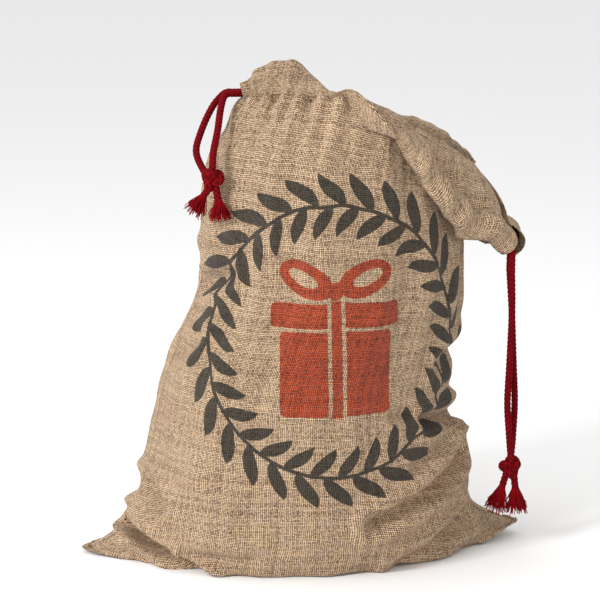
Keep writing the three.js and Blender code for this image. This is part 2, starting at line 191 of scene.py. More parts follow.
def cuff_point(turn, side, above_edge, outward):
    """A point of the cuff: it hugs the body at the fold and flares away from it lower down."""
    turn, above_edge = np.broadcast_arrays(np.asarray(turn, float), np.asarray(above_edge, float))
    angle = angle_at(turn, side)
    drop = cuff_drop(turn)
    below = np.maximum(drop - above_edge, 0)
    flare = CUFF_FLARE * smooth_step(FLARE_START, FLARE_END, turn) * (below / drop) ** 1.3
    return body_point(rise_below_neck(angle, below), angle, -(CUFF_STAND_OFF + flare + outward))


# ---------- mesh building ----------
def make_object(name, vertices, faces, material):
    """A mesh object at the origin from a vertex array and a list or array of faces."""
    mesh = bpy.data.meshes.new(name)
    mesh.from_pydata([tuple(row) for row in vertices.tolist()], [], [tuple(face) for face in faces])
    mesh.update()
    mesh.polygons.foreach_set("use_smooth", [True] * len(mesh.polygons))
    made = bpy.data.objects.new(name, mesh)
    bpy.context.scene.collection.objects.link(made)
    mesh.materials.append(material)
    return made


def grid_faces(rows, columns, around=False):
    """Quads between neighbouring rows and columns; around joins the last column to the first."""
    row, column = np.meshgrid(np.arange(rows - 1), np.arange(columns - (not around)), indexing="ij")
    following = (column + 1) % columns
    corners = [row * columns + column, row * columns + following,
               (row + 1) * columns + following, (row + 1) * columns + column]
    return np.stack([corner.ravel() for corner in corners], -1)


def add_uv(made, name, values):
    """A UV map from one (u, v) pair for each vertex."""
    layer = made.data.uv_layers.new(name=name)
    corner = np.empty(len(made.data.loops), dtype=np.int32)
    made.data.loops.foreach_get("vertex_index", corner)
    layer.data.foreach_set("uv", values.reshape(-1, 2)[corner].ravel())


def frames_along(path):
    """Tangent and two side directions at each point of a path, carried along without twist."""
    tangent = np.gradient(path, axis=0)
    tangent /= np.linalg.norm(tangent, axis=1, keepdims=True)
    start = np.cross(tangent[0], (0.3, 0.9, 0.2))
    sides = [start / np.linalg.norm(start)]
    for heading in tangent[1:]:
        carried = sides[-1] - heading * np.dot(sides[-1], heading)
        sides.append(carried / np.linalg.norm(carried))
    side = np.array(sides)
    return tangent, side, np.cross(tangent, side)


def resample(points, spacing):
    """Points spaced evenly along the smooth curve through the given ones."""
    fine = spline(points, np.linspace(0, 1, 40 * len(points)))
    run = np.concatenate([[0], np.cumsum(np.linalg.norm(np.diff(fine, axis=0), axis=1))])
    count = max(4, int(round(run[-1] / spacing)) + 1)
    even = np.linspace(0, run[-1], count)
    return np.stack([np.interp(even, run, fine[:, axis]) for axis in range(3)], -1), even


def tube(name, path, radii, material):
    """A profile carried along a path, closed at both ends: radii is one row of radius values for
    each path point."""
    _, side, up = frames_along(path)
    corners = radii.shape[1]
    turn = np.linspace(0, 2 * math.pi, corners, endpoint=False)
    ring = (side[:, None] * np.cos(turn)[None, :, None] + up[:, None] * np.sin(turn)[None, :, None])
    vertices = (path[:, None] + ring * radii[..., None]).reshape(-1, 3)
    first_ring = list(range(corners))
    last_ring = list(range((len(path) - 1) * corners, len(path) * corners))
    faces = grid_faces(len(path), corners, around=True).tolist() + [first_ring[::-1], last_ring]
    return make_object(name, vertices, faces, material)


def braided(name, points, material, radius=CORD / 2, spacing=0.0009):
    """A braided cord: eight strands in two crossing sets of helices swell its round section.
    The radius is one value, or one value for each point."""
    path, run = resample(points, spacing)
    given = np.linalg.norm(np.diff(np.asarray(points, float), axis=0), axis=1)
    given = np.concatenate([[0], np.cumsum(given)]) / given.sum()
    radius = np.interp(run / run[-1], given, np.broadcast_to(radius, len(given)))[:, None]
    corners = 24
    turn = np.linspace(0, 2 * math.pi, corners, endpoint=False)[None]
    wind = (2 * math.pi / BRAID_PITCH) * run[:, None]
    right = np.abs(np.cos(2 * turn + wind))
    left = np.abs(np.cos(2 * turn - wind))
    swell = np.maximum(right, left) ** 1.5
    made = tube(name, path, radius * (BRAID_GROOVE + BRAID_SWELL * swell), material)
    around = np.broadcast_to(turn / (2 * math.pi), (len(path), corners))
    along = np.broadcast_to(run[:, None] / CORD, (len(path), corners))
    add_uv(made, "cord", np.stack([around, along], -1))
    return made, path, run[-1]


# ---------- camera, light and floor ----------
VIEW_AZIMUTH = -8.0
VIEW_ELEVATION = 13.0
VIEW_DISTANCE = 2.6
VIEW_WIDTH = 0.636        # what the frame takes in at the sack
VIEW_TARGET = Vector((0.003, 0.0, 0.269))
SENSOR_WIDTH = 36         # millimetres
SURROUNDINGS = 0.86       # strength of the white surroundings
# Name, place, size and power of each soft box.
SOFT_BOXES = [
    ("key", (-1.9, -1.3, 1.5), 0.7, 46),
    ("fill", (1.6, -1.8, 0.9), 1.2, 3),
    ("top", (-0.2, 0.3, 2.0), 1.0, 7),
]
LIGHT_AIM = Vector((0, 0, 0.25))
FLOOR_REACH = 6.0         # from the middle to each side


def add_camera():
    """A long lens at the sack's front left, a little above it."""
    data = bpy.data.cameras.new("camera")
    camera = bpy.data.objects.new("camera", data)
    bpy.context.scene.collection.objects.link(camera)
    turn, climb = math.radians(VIEW_AZIMUTH), math.radians(VIEW_ELEVATION)
    away = Vector((math.sin(turn) * math.cos(climb), -math.cos(turn) * math.cos(climb), math.sin(climb)))
    camera.location = VIEW_TARGET + away * VIEW_DISTANCE
    camera.rotation_euler = (-away).to_track_quat("-Z", "Y").to_euler()
    data.sensor_width = SENSOR_WIDTH
    data.lens = SENSOR_WIDTH * VIEW_DISTANCE / VIEW_WIDTH
    data.clip_start, data.clip_end = 0.05, 50
    bpy.context.scene.camera = camera


def add_light(name, place, size, power):
    """A square soft box pointed at the sack."""
    data = bpy.data.lights.new(name, "AREA")
    data.shape, data.size, data.energy = "SQUARE", size, power
    light = bpy.data.objects.new(name, data)
    light.location = place
    light.rotation_euler = (LIGHT_AIM - Vector(place)).to_track_quat("-Z", "Y").to_euler()
    bpy.context.scene.collection.objects.link(light)


def add_studio():
    """White surroundings, a large soft key on the left and a weak fill on the right."""
    world = bpy.data.worlds.new("studio")
    bpy.context.scene.world = world
    world.use_nodes = True
    background = world.node_tree.nodes["Background"]
    background.inputs["Color"].default_value = (1, 1, 1, 1)
    background.inputs["Strength"].default_value = SURROUNDINGS
    for box in SOFT_BOXES:
        add_light(*box)
    material = bpy.data.materials.new("floor_paint")
    material.use_nodes = True
    shader = material.node_tree.nodes["Principled BSDF"]
    shader.inputs["Base Color"].default_value = (0.93, 0.93, 0.93, 1)
    shader.inputs["Roughness"].default_value = 0.9
    level = CAD_BOX[0][2] - 0.0003
    square = ((-1, -1), (1, -1), (1, 1), (-1, 1))
    corners = np.array([(x * FLOOR_REACH, y * FLOOR_REACH, level) for x, y in square])
    make_object("floor", corners, [(0, 1, 2, 3)], material)
    bpy.context.scene.view_settings.view_transform = "Standard"
    bpy.context.scene.view_settings.look = "None"


# ---------- shader helpers ----------
def link(tree, source, target):
    """Joins an output socket to an input socket."""
    tree.links.new(source, target)


def fill_in(tree, sockets, values):
    """Gives each input its value: a number, an (r, g, b) colour, or the output socket it reads."""
    for socket, value in zip(sockets, values):
        if isinstance(value, tuple):
            socket.default_value = (*value, 1)
        elif isinstance(value, (int, float)):
            socket.default_value = value
        elif value is not None:
            link(tree, value, socket)


def calc(tree, operation, first, second=None, third=None):
    """One Math node; each operand is a number or an output socket."""
    node = tree.nodes.new("ShaderNodeMath")
    node.operation = operation
    fill_in(tree, node.inputs, (first, second, third))
    return node.outputs[0]


def held_to_one(tree, value):
    """The value, no lower than 0 and no higher than 1."""
    node = tree.nodes.new("ShaderNodeClamp")
    link(tree, value, node.inputs[0])
    return node.outputs[0]


def blend_colours(tree, factor, first, second):
    """One colour Mix node; colours are (r, g, b) or output sockets."""
    node = tree.nodes.new("ShaderNodeMix")
    node.data_type = "RGBA"
    fill_in(tree, (node.inputs[0], node.inputs[6], node.inputs[7]), (factor, first, second))
    return node.outputs[2]


def noise(tree, vector, scale, detail):
    """Soft noise from 0 to 1 over the given coordinates."""
    node = tree.nodes.new("ShaderNodeTexNoise")
    link(tree, vector, node.inputs["Vector"])
    node.inputs["Scale"].default_value = scale
    node.inputs["Detail"].default_value = detail
    return node.outputs["Fac"]


def combine(tree, x, y):
    """A vector from two numbers."""
    node = tree.nodes.new("ShaderNodeCombineXYZ")
    fill_in(tree, node.inputs, (x, y))
    return node.outputs[0]


def uv_parts(tree, name):
    """The two coordinates of a UV map, and the map itself."""
    node = tree.nodes.new("ShaderNodeUVMap")
    node.uv_map = name
    parts = tree.nodes.new("ShaderNodeSeparateXYZ")
    link(tree, node.outputs[0], parts.inputs[0])
    return parts.outputs[0], parts.outputs[1], node.outputs[0]


def soft_mask(tree, distance):
    """1 where the signed distance is negative, 0 outside, with a soft rim."""
    node = tree.nodes.new("ShaderNodeMapRange")
    node.interpolation_type = "SMOOTHSTEP"
    link(tree, distance, node.inputs["Value"])
    node.inputs["From Min"].default_value = INK_EDGE
    node.inputs["From Max"].default_value = -INK_EDGE
    return node.outputs["Result"]


WEAVE_PITCH = 0.0018      # from thread to thread
THREAD_WANDER = 1.6       # how many thread widths a thread strays sideways
SLUB_PACE = 0.09          # thick and thin places for each thread width of length


def thread_set(group, own, other, seed, turn_over):
    """One set of parallel threads: own counts across them and other runs along them. Each thread
    is round, has its own tone and slubs, and rises over every second crossing."""
    number = calc(group, "FLOOR", own)
    tone = group.nodes.new("ShaderNodeTexWhiteNoise")
    tone.noise_dimensions = "1D"
    link(group, calc(group, "ADD", number, seed), tone.inputs["W"])
    apart = calc(group, "MULTIPLY", number, 7.3)
    stretched = combine(group, apart, calc(group, "MULTIPLY", other, SLUB_PACE))
    slub = noise(group, stretched, 1.0, 2.0)
    round_top = calc(group, "ABSOLUTE", calc(group, "SINE", calc(group, "MULTIPLY", own, math.pi)))
    crossing = calc(group, "SUBTRACT", calc(group, "ADD", other, number), 0.5)
    phase = calc(group, "MULTIPLY", crossing, math.pi)
    over = calc(group, "MULTIPLY_ADD", calc(group, "COSINE", phase), turn_over, 0.5)
    lifted = calc(group, "MULTIPLY_ADD", over, 0.8, 0.2)
    height = calc(group, "MULTIPLY", calc(group, "POWER", round_top, 0.6), lifted)
    return tone.outputs["Value"], slub, height


def weave_group():
    """Plain weave: warp and weft threads pass over each other in turn. Each thread has its own
    tone and thickens and thins along its length. Puts out Tone, Slub and Height."""
    group = bpy.data.node_groups.new("plain_weave", "ShaderNodeTree")
    group.interface.new_socket("Cloth", in_out="INPUT", socket_type="NodeSocketVector")
    group.interface.new_socket("Pitch", in_out="INPUT", socket_type="NodeSocketFloat")
    for name in ("Tone", "Slub", "Height"):
        group.interface.new_socket(name, in_out="OUTPUT", socket_type="NodeSocketFloat")
    start = group.nodes.new("NodeGroupInput")
    end = group.nodes.new("NodeGroupOutput")
    parts = group.nodes.new("ShaderNodeSeparateXYZ")
    link(group, start.outputs["Cloth"], parts.inputs[0])
    wander = noise(group, start.outputs["Cloth"], 60.0, 1.0)
    shift = calc(group, "MULTIPLY_ADD", wander, THREAD_WANDER, -THREAD_WANDER / 2)
    across, along = [calc(group, "ADD", calc(group, "DIVIDE", part, start.outputs["Pitch"]), shift)
                     for part in (parts.outputs[0], parts.outputs[1])]
    warp_tone, warp_slub, warp_height = thread_set(group, across, along, 3.0, 0.5)
    weft_tone, weft_slub, weft_height = thread_set(group, along, across, 57.0, -0.5)
    weft_on_top = calc(group, "GREATER_THAN", weft_height, warp_height)

    def visible(warp, weft):
        """The value of whichever thread lies on top."""
        mixed = calc(group, "SUBTRACT", weft, warp)
        return calc(group, "MULTIPLY_ADD", mixed, weft_on_top, warp)

    slub = visible(warp_slub, weft_slub)
    height = calc(group, "MAXIMUM", warp_height, weft_height)
    link(group, visible(warp_tone, weft_tone), end.inputs["Tone"])
    link(group, slub, end.inputs["Slub"])
    link(group, calc(group, "MULTIPLY", height, calc(group, "ADD", slub, 0.5)), end.inputs["Height"])
    return group


# Colours are linear red, green and blue.
LINEN_LIGHT = (0.76, 0.545, 0.345)
# the dark linen colour stands both for the cloth's own dark threads and specks and for painted shade in
# the weave's gaps
LINEN_DARK = (0.070, 0.030, 0.014)
CHARCOAL = (0.058, 0.050, 0.037)
# dark charcoal ink: its darker threads, and painted shade in the weave's gaps
CHARCOAL_DARK_AND_SHADED = (0.010, 0.008, 0.005)
ORANGE_RED = (0.56, 0.072, 0.020)
# dark orange ink: its darker threads, and painted shade in the weave's gaps
ORANGE_DARK_AND_SHADED = (0.075, 0.008, 0.003)
COTTON_RED = (0.36, 0.003, 0.007)
# dark cotton: mostly painted shade in the braid's grooves, partly its own darker fibres
COTTON_DARK_AND_SHADED = (0.085, 0.001, 0.003)


def start_material(name):
    """An empty material, its node tree and its shader."""
    material = bpy.data.materials.new(name)
    material.use_nodes = True
    return material, material.node_tree, material.node_tree.nodes["Principled BSDF"]


def bump(tree, shader, height, strength, distance):
    """Lets a height raise and dent the surface."""
    node = tree.nodes.new("ShaderNodeBump")
    node.inputs["Strength"].default_value = strength
    node.inputs["Distance"].default_value = distance
    link(tree, height, node.inputs["Height"])
    link(tree, node.outputs[0], shader.inputs["Normal"])


# How much each effect darkens the linen: the gaps' share is painted shade between the threads, the others
# are the cloth's own tone. The balance brings their sum back to the middle tone.
THREAD_SHADE = 0.52
SLUB_SHADE = 0.66
PATCH_SHADE = 0.25
PAINTED_GAP_SHADE = 4.3
SPECK_SHADE = 1.9
SHADE_BALANCE = -1.50
GAP_TOP = 0.72            # thread height under which painted shade begins in the gaps between threads


def linen(name, weave, darker=0.0, printed=False):
    """Coarse slubby linen with painted shade in the gaps between its threads; darker shades it towards
    the dark thread. The front may be printed.
    """
    material, tree, shader = start_material(name)
    _, _, cloth = uv_parts(tree, "cloth")
    node = tree.nodes.new("ShaderNodeGroup")
    node.node_tree = weave
    link(tree, cloth, node.inputs["Cloth"])
    node.inputs["Pitch"].default_value = WEAVE_PITCH
    place = tree.nodes.new("ShaderNodeTexCoord").outputs["Object"]
    patches = noise(tree, place, 9.0, 3.0)
    specks = noise(tree, place, 420.0, 2.0)
    height, slub = node.outputs["Height"], node.outputs["Slub"]
    # painted shade: the cloth darkens in the low gaps between the threads
    gaps = calc(tree, "MAXIMUM", calc(tree, "SUBTRACT", GAP_TOP, height), 0.0)
    effects = [(node.outputs["Tone"], THREAD_SHADE), (slub, SLUB_SHADE), (patches, PATCH_SHADE),
               (gaps, PAINTED_GAP_SHADE), (specks, SPECK_SHADE)]
    shade = SHADE_BALANCE + darker
    for effect, strength in effects:
        shade = calc(tree, "MULTIPLY_ADD", effect, strength, shade)
    shade = held_to_one(tree, shade)
    # the dark end takes the cloth's own dark threads and specks and the painted shade in the gaps
    colour = blend_colours(tree, shade, LINEN_LIGHT, LINEN_DARK)
    if printed:
        colour = add_print(tree, colour, shade, height, slub)
    link(tree, colour, shader.inputs["Base Color"])
    shader.inputs["Roughness"].default_value = 0.95
    shader.inputs["Specular IOR Level"].default_value = 0.15
    shader.inputs["Sheen Weight"].default_value = 0.1
    shader.inputs["Sheen Roughness"].default_value = 0.6
    bump(tree, shader, height, 1.0, 0.0010)
    return material


# ---------- the print: a wreath of leaves round a wrapped box ----------
WREATH_RADIUS = 0.139
LEAVES = 30
LEAF_LENGTH = 0.0172      # half the leaf's length, measured outwards
LEAF_WIDTH = 0.0092       # half its width
LEAF_LEAN = 0.75          # how far its midrib runs along the ring for each step outwards
OUTER_RING = 0.0150       # middle of the outer leaves outside the stem
INNER_RING = -0.0140
STEM_WIDTH = 0.0019       # half the stem's width
INK_EDGE = 0.0004         # softness of every printed edge


def leaf_mask(tree, angle, radius, offset, lean, phase):
    """One ring of leaves: in each cell of the ring the leaf's rim is a parabola on both sides
    of a leaning midrib."""
    cell = calc(tree, "MULTIPLY_ADD", angle, LEAVES / (2 * math.pi), phase)
    place = calc(tree, "SUBTRACT", calc(tree, "FRACT", cell), 0.5)
    along = calc(tree, "MULTIPLY", place, 2 * math.pi * WREATH_RADIUS / LEAVES)
    out = calc(tree, "SUBTRACT", radius, WREATH_RADIUS + offset)
    share = calc(tree, "DIVIDE", out, LEAF_LENGTH)
    across = calc(tree, "ABSOLUTE", calc(tree, "MULTIPLY_ADD", out, -lean, along))
    narrowing = calc(tree, "SUBTRACT", 1.0, calc(tree, "MULTIPLY", share, share))
    rim = calc(tree, "MULTIPLY", narrowing, LEAF_WIDTH)
    return soft_mask(tree, calc(tree, "SUBTRACT", across, rim))


def box_distance(tree, x, y, centre, half, corner):
    """Signed distance to a rounded rectangle."""
    gaps = []
    for value, middle, reach in zip((x, y), centre, half):
        away = calc(tree, "ABSOLUTE", calc(tree, "SUBTRACT", value, middle))
        gaps.append(calc(tree, "SUBTRACT", away, reach - corner))
    gap_x, gap_y = gaps
    out_x, out_y = calc(tree, "MAXIMUM", gap_x, 0.0), calc(tree, "MAXIMUM", gap_y, 0.0)
    squares = calc(tree, "MULTIPLY_ADD", out_x, out_x, calc(tree, "MULTIPLY", out_y, out_y))
    inside = calc(tree, "MINIMUM", calc(tree, "MAXIMUM", gap_x, gap_y), 0.0)
    return calc(tree, "SUBTRACT", calc(tree, "ADD", calc(tree, "SQRT", squares), inside), corner)


def oval_distance(tree, x, y, centre, half, tilt):
    """About the distance to a tilted oval."""
    cosine, sine = math.cos(tilt), math.sin(tilt)
    dx, dy = calc(tree, "SUBTRACT", x, centre[0]), calc(tree, "SUBTRACT", y, centre[1])
    along = calc(tree, "MULTIPLY_ADD", dy, sine, calc(tree, "MULTIPLY", dx, cosine))
    across = calc(tree, "MULTIPLY_ADD", dx, -sine, calc(tree, "MULTIPLY", dy, cosine))
    first = calc(tree, "POWER", calc(tree, "DIVIDE", calc(tree, "ABSOLUTE", along), half[0]), 2.0)
    second = calc(tree, "POWER", calc(tree, "DIVIDE", calc(tree, "ABSOLUTE", across), half[1]), 2.0)
    size = calc(tree, "SQRT", calc(tree, "ADD", first, second))
    return calc(tree, "MULTIPLY", calc(tree, "SUBTRACT", size, 1.0), min(half))


def wrapped_box_mask(tree, x, y):
    """A box with a lid, a bare stripe for its ribbon, and a bow of two loops and a knot."""
    body = box_distance(tree, x, y, (0, -0.030), (0.058, 0.044), 0.006)
    lid = box_distance(tree, x, y, (0, 0.030), (0.068, 0.0125), 0.005)
    solid = soft_mask(tree, calc(tree, "MINIMUM", body, lid))
    stripe = soft_mask(tree, box_distance(tree, x, y, (0, -0.016), (0.0095, 0.062), 0.001))
    solid = calc(tree, "MULTIPLY", solid, calc(tree, "SUBTRACT", 1.0, stripe))
    ribbon = soft_mask(tree, box_distance(tree, x, y, (0, -0.016), (0.0055, 0.060), 0.001))
    shapes = calc(tree, "MAXIMUM", solid, ribbon)
    for side in (-1, 1):
        centre = (side * 0.031, 0.066)
        loop = oval_distance(tree, x, y, centre, (0.030, 0.0165), side * 0.42)
        hole = oval_distance(tree, x, y, (side * 0.034, 0.0675), (0.0165, 0.0068), side * 0.42)
        ring = calc(tree, "MAXIMUM", loop, calc(tree, "MULTIPLY", hole, -1.0))
        shapes = calc(tree, "MAXIMUM", shapes, soft_mask(tree, ring))
    bow_knot = oval_distance(tree, x, y, (0, 0.054), (0.0085, 0.0095), 0.0)
    return calc(tree, "MAXIMUM", shapes, soft_mask(tree, bow_knot))


def add_print(tree, colour, shade, height, slub):
    """Ink lies on the raised threads and misses some of the gaps between them. It darkens with the
    weave's own thread tone and with the painted shade in its gaps, both given by shade."""
    x, y, _ = uv_parts(tree, "print")
    angle = calc(tree, "ARCTAN2", y, x)
    radius = calc(tree, "SQRT", calc(tree, "MULTIPLY_ADD", x, x, calc(tree, "MULTIPLY", y, y)))
    outer = leaf_mask(tree, angle, radius, OUTER_RING, LEAF_LEAN, 0.0)
    inner = leaf_mask(tree, angle, radius, INNER_RING, -LEAF_LEAN, 0.5)
    off_stem = calc(tree, "ABSOLUTE", calc(tree, "SUBTRACT", radius, WREATH_RADIUS))
    stem = soft_mask(tree, calc(tree, "SUBTRACT", off_stem, STEM_WIDTH))
    wreath = calc(tree, "MAXIMUM", calc(tree, "MAXIMUM", outer, inner), stem)
    box = wrapped_box_mask(tree, x, y)
    thickness = calc(tree, "MULTIPLY_ADD", height, 0.5, calc(tree, "ADD", slub, 0.26))
    cover = calc(tree, "MINIMUM", thickness, 0.95)
    # painted shade: the inks darken in the weave's gaps as the linen does, and with the threads' own tone
    charcoal = blend_colours(tree, shade, CHARCOAL, CHARCOAL_DARK_AND_SHADED)
    orange = blend_colours(tree, shade, ORANGE_RED, ORANGE_DARK_AND_SHADED)
    colour = blend_colours(tree, calc(tree, "MULTIPLY", wreath, cover), colour, charcoal)
    return blend_colours(tree, calc(tree, "MULTIPLY", box, cover), colour, orange)


def cotton(name):
    """Braided red cotton with painted shade in the grooves between its strands, and worn, paler places.
    """
    material, tree, shader = start_material(name)
    around, along, _ = uv_parts(tree, "cord")
    turn = calc(tree, "MULTIPLY", around, 4 * math.pi)
    wind = calc(tree, "MULTIPLY", along, 2 * math.pi * CORD / BRAID_PITCH)
    right = calc(tree, "ABSOLUTE", calc(tree, "COSINE", calc(tree, "ADD", turn, wind)))
    left = calc(tree, "ABSOLUTE", calc(tree, "COSINE", calc(tree, "SUBTRACT", turn, wind)))
    # painted shade: the cord darkens in the grooves between its strands
    groove_shade = calc(tree, "SUBTRACT", 1.0, calc(tree, "MAXIMUM", right, left))
    place = tree.nodes.new("ShaderNodeTexCoord").outputs["Object"]
    fibres = noise(tree, place, 1500.0, 3.0)
    wear = noise(tree, place, 60.0, 2.0)
    tone = calc(tree, "MULTIPLY_ADD", fibres, 0.7, calc(tree, "MULTIPLY_ADD", wear, 0.5, -0.15))
    tone = calc(tree, "MULTIPLY_ADD", groove_shade, -2.4, tone)
    colour = blend_colours(tree, held_to_one(tree, tone), COTTON_DARK_AND_SHADED, COTTON_RED)
    link(tree, colour, shader.inputs["Base Color"])
    shader.inputs["Roughness"].default_value = 0.85
    shader.inputs["Specular IOR Level"].default_value = 0.08
    bump(tree, shader, fibres, 0.5, 0.0004)
    return material


# ---------- the cloth ----------
COLUMNS = 170             # round one panel
WALL_ROWS = 176           # floor to neck
BASE_ROWS = 10
HEM_ROWS = 26             # each layer of the hem
FLAT_SIZE = (0.46, 0.72)  # each panel as it was cut, inside its seam allowance
BODY_RADIUS = 0.15        # mean radius of the belly, which turns angles into lengths
PRINT_CENTRE = (0.023, 0.257)
LEFT_ROLL_HEIGHT = 0.056  # the soft roll above the left bottom corner
LEFT_ROLL_SPREAD = 0.017
LEFT_ROLL = 0.013
LEFT_EAR_LIFT = 0.004     # how far the corner's tip is off the floor
RIGHT_EAR_LIFT = 0.013
FOLD_SHARE = 0.16         # part of the turned-down hem's outer layer that goes over the fold
FLOP = {FRONT: 62, BACK: 12}    # degrees that the standing hem tips over the mouth
TURNING = {FRONT: (56, 112), BACK: (COLLAR_END - 6, CUFF_START + 6)}    # turns where it goes over

# Creases in the filled cloth: angle and height at both ends, half width and depth, in metres.
CREASES = [
    (288, 0.066, 342, 0.116, 0.0085, 0.0085),
    (318, 0.162, 356, 0.156, 0.0085, 0.0085),
    (300, 0.178, 346, 0.150, 0.0060, 0.0030),
    (326, 0.222, 356, 0.232, 0.0110, 0.0060),
    (306, 0.118, 338, 0.150, 0.0060, 0.0035),
    (300, 0.012, 338, 0.048, 0.0100, 0.0060),
    (184, 0.300, 212, 0.322, 0.0090, 0.0060),
    (182, 0.226, 204, 0.250, 0.0100, 0.0040),
    (186, 0.094, 206, 0.070, 0.0080, 0.0055),
    (188, 0.050, 212, 0.028, 0.0070, 0.0060),
    (188, 0.044, 234, 0.000, 0.0060, 0.0110),
    (204, 0.020, 246, 0.030, 0.0080, 0.0030),
    (20, 0.140, 62, 0.170, 0.0110, 0.0080),
    (60, 0.080, 110, 0.112, 0.0120, 0.0060),
    (120, 0.300, 168, 0.322, 0.0100, 0.0070),
    (14, 0.060, 40, 0.030, 0.0080, 0.0060),
    (140, 0.050, 172, 0.080, 0.0090, 0.0060),
]


def seam_turn(share, side, rise):
    """Turns along a panel; near the neck the right seam has crept 17 degrees to the front."""
    near_neck, near_right = smooth_step(0.55, 1.0, rise), smooth_step(0.45, 1.0, share)
    creep = side * (180 - RIGHT_EXIT_TURN) * near_neck * near_right
    return 180 * share + creep


def surface_normals(points, side):
    """Unit normals of a grid of points, turned away from the sack's axis."""
    normal = np.cross(np.gradient(points, axis=1), np.gradient(points, axis=0))
    normal /= np.maximum(np.linalg.norm(normal, axis=-1, keepdims=True), 1e-9)
    return normal * -side


def fold_depth(angle, height):
    """How far the cloth moves out at each point: each crease is a groove with a low bank on
    both sides, and broad soft swells stand for what fills the sack."""
    across = np.radians(angle) * BODY_RADIUS
    total = np.zeros_like(height)
    for angle_a, height_a, angle_b, height_b, width, depth in CREASES:
        start = np.array([math.radians(angle_a) * BODY_RADIUS, height_a])
        run = np.array([math.radians(angle_b) * BODY_RADIUS, height_b]) - start
        share = ((across - start[0]) * run[0] + (height - start[1]) * run[1]) / np.dot(run, run)
        held = np.clip(share, 0, 1)
        gap = np.hypot(across - start[0] - held * run[0], height - start[1] - held * run[1])
        bank = np.exp(-((gap - 1.9 * width) / (0.9 * width)) ** 2)
        total += 1.8 * depth * (0.55 * bank - np.exp(-(gap / width) ** 1.4))
    swell = waves(across, height, 11, 6, 18, 45) * 0.0030
    small = waves(across, height, 23, 9, 70, 170) * 0.0010
    return total + (swell + small) * smooth_step(0.0, 0.04, height)


def neck_gathers(turn, rise):
    """Pleats that fan out below the drawn neck, strongest on the upright side."""
    near = np.exp(-(1 - rise) / 0.075)
    wide = np.sin(np.radians(turn * 14 + 60))
    strength = 1 - 0.45 * smooth_step(60, 120, turn)
    far = np.exp(-(1 - rise) / 0.16)
    return (0.0042 * pleat_wave(turn) * near + 0.0032 * wide * far) * strength


def wall_grid(side, columns, rows, detailed=True):
    """One panel's wall from the floor edge to the neck, with its folds."""
    share = np.linspace(0, 1, columns)[None, :]
    rise = np.linspace(0, 1, rows)[:, None]
    turn = seam_turn(share, side, rise)
    angle = angle_at(turn, side)
    rise = np.broadcast_to(rise, angle.shape)
    points = body_point(rise, angle)
    if detailed:
        wrapped = np.mod(angle, 360)
        height = points[..., 2]
        out = fold_depth(wrapped, height) + neck_gathers(turn, rise)
        at_seam = smooth_step(0, 0.05, share) * smooth_step(0, 0.05, 1 - share)
        from_seam = np.minimum(share, 1 - share)
        pinch = -0.0030 * np.exp(-from_seam / 0.018) * smooth_step(0.06, 0.2, rise)
        out = out * (0.25 + 0.75 * at_seam) * smooth_step(0.0, 0.05, rise) + pinch
        points = points + surface_normals(points, side) * out[..., None]
        roll = np.exp(-((points[..., 2] - LEFT_ROLL_HEIGHT) / LEFT_ROLL_SPREAD) ** 2)
        points[..., 0] -= LEFT_ROLL * (roll * smooth_step(0.12, 0.175, -points[..., 0]))
    return points, turn


def raise_ears(points):
    """The pointed bottom corners lift a little off the floor, the right one more."""
    x, z = points[..., 0], points[..., 2]
    low = 1 - smooth_step(0.02, 0.06, z)
    right, left = smooth_step(0.185, 0.238, x), smooth_step(0.19, 0.228, -x)
    lifted = points.copy()
    lifted[..., 2] += low * (RIGHT_EAR_LIFT * right + LEFT_EAR_LIFT * left)
    return lifted


def base_grid(edge):
    """The half of the flat base that joins the floor edge to the bottom seam."""
    share = np.linspace(0, 1, BASE_ROWS, endpoint=False)[:, None]
    points = np.broadcast_to(edge, (BASE_ROWS, *edge.shape)).copy()
    points[..., 1] = edge[None, :, 1] * share
    points[..., 2] = LOWEST + (edge[None, :, 2] - LOWEST) * share
    return points


def upright_profile(layer, level):
    """The standing hem: its outer layer is nearly flat, and the layer turned in behind it
    bows inwards round the cords. Gives outward and upward distance from the neck."""
    bow = np.sin(math.pi * level)
    if layer == "outer":
        drawn_in = 0.0022 * np.exp(-(level / 0.10) ** 2)
        return -0.0012 + 0.0008 * bow - drawn_in, HEM_HEIGHT * level + 0.0004
    return -0.0016 - (HEM_ROOM + 0.0035) * np.clip(bow, 0, 1) ** 0.55, HEM_HEIGHT * (0.05 + 0.95 * level)


def cuff_swell(turn, down):
    """The cuff stands away from the body between its fold and its edge, most near the end."""
    return (0.005 + 0.017 * smooth_step(126, 150, turn)) * np.sin(math.pi * np.clip(down, 0, 1) ** 0.65)


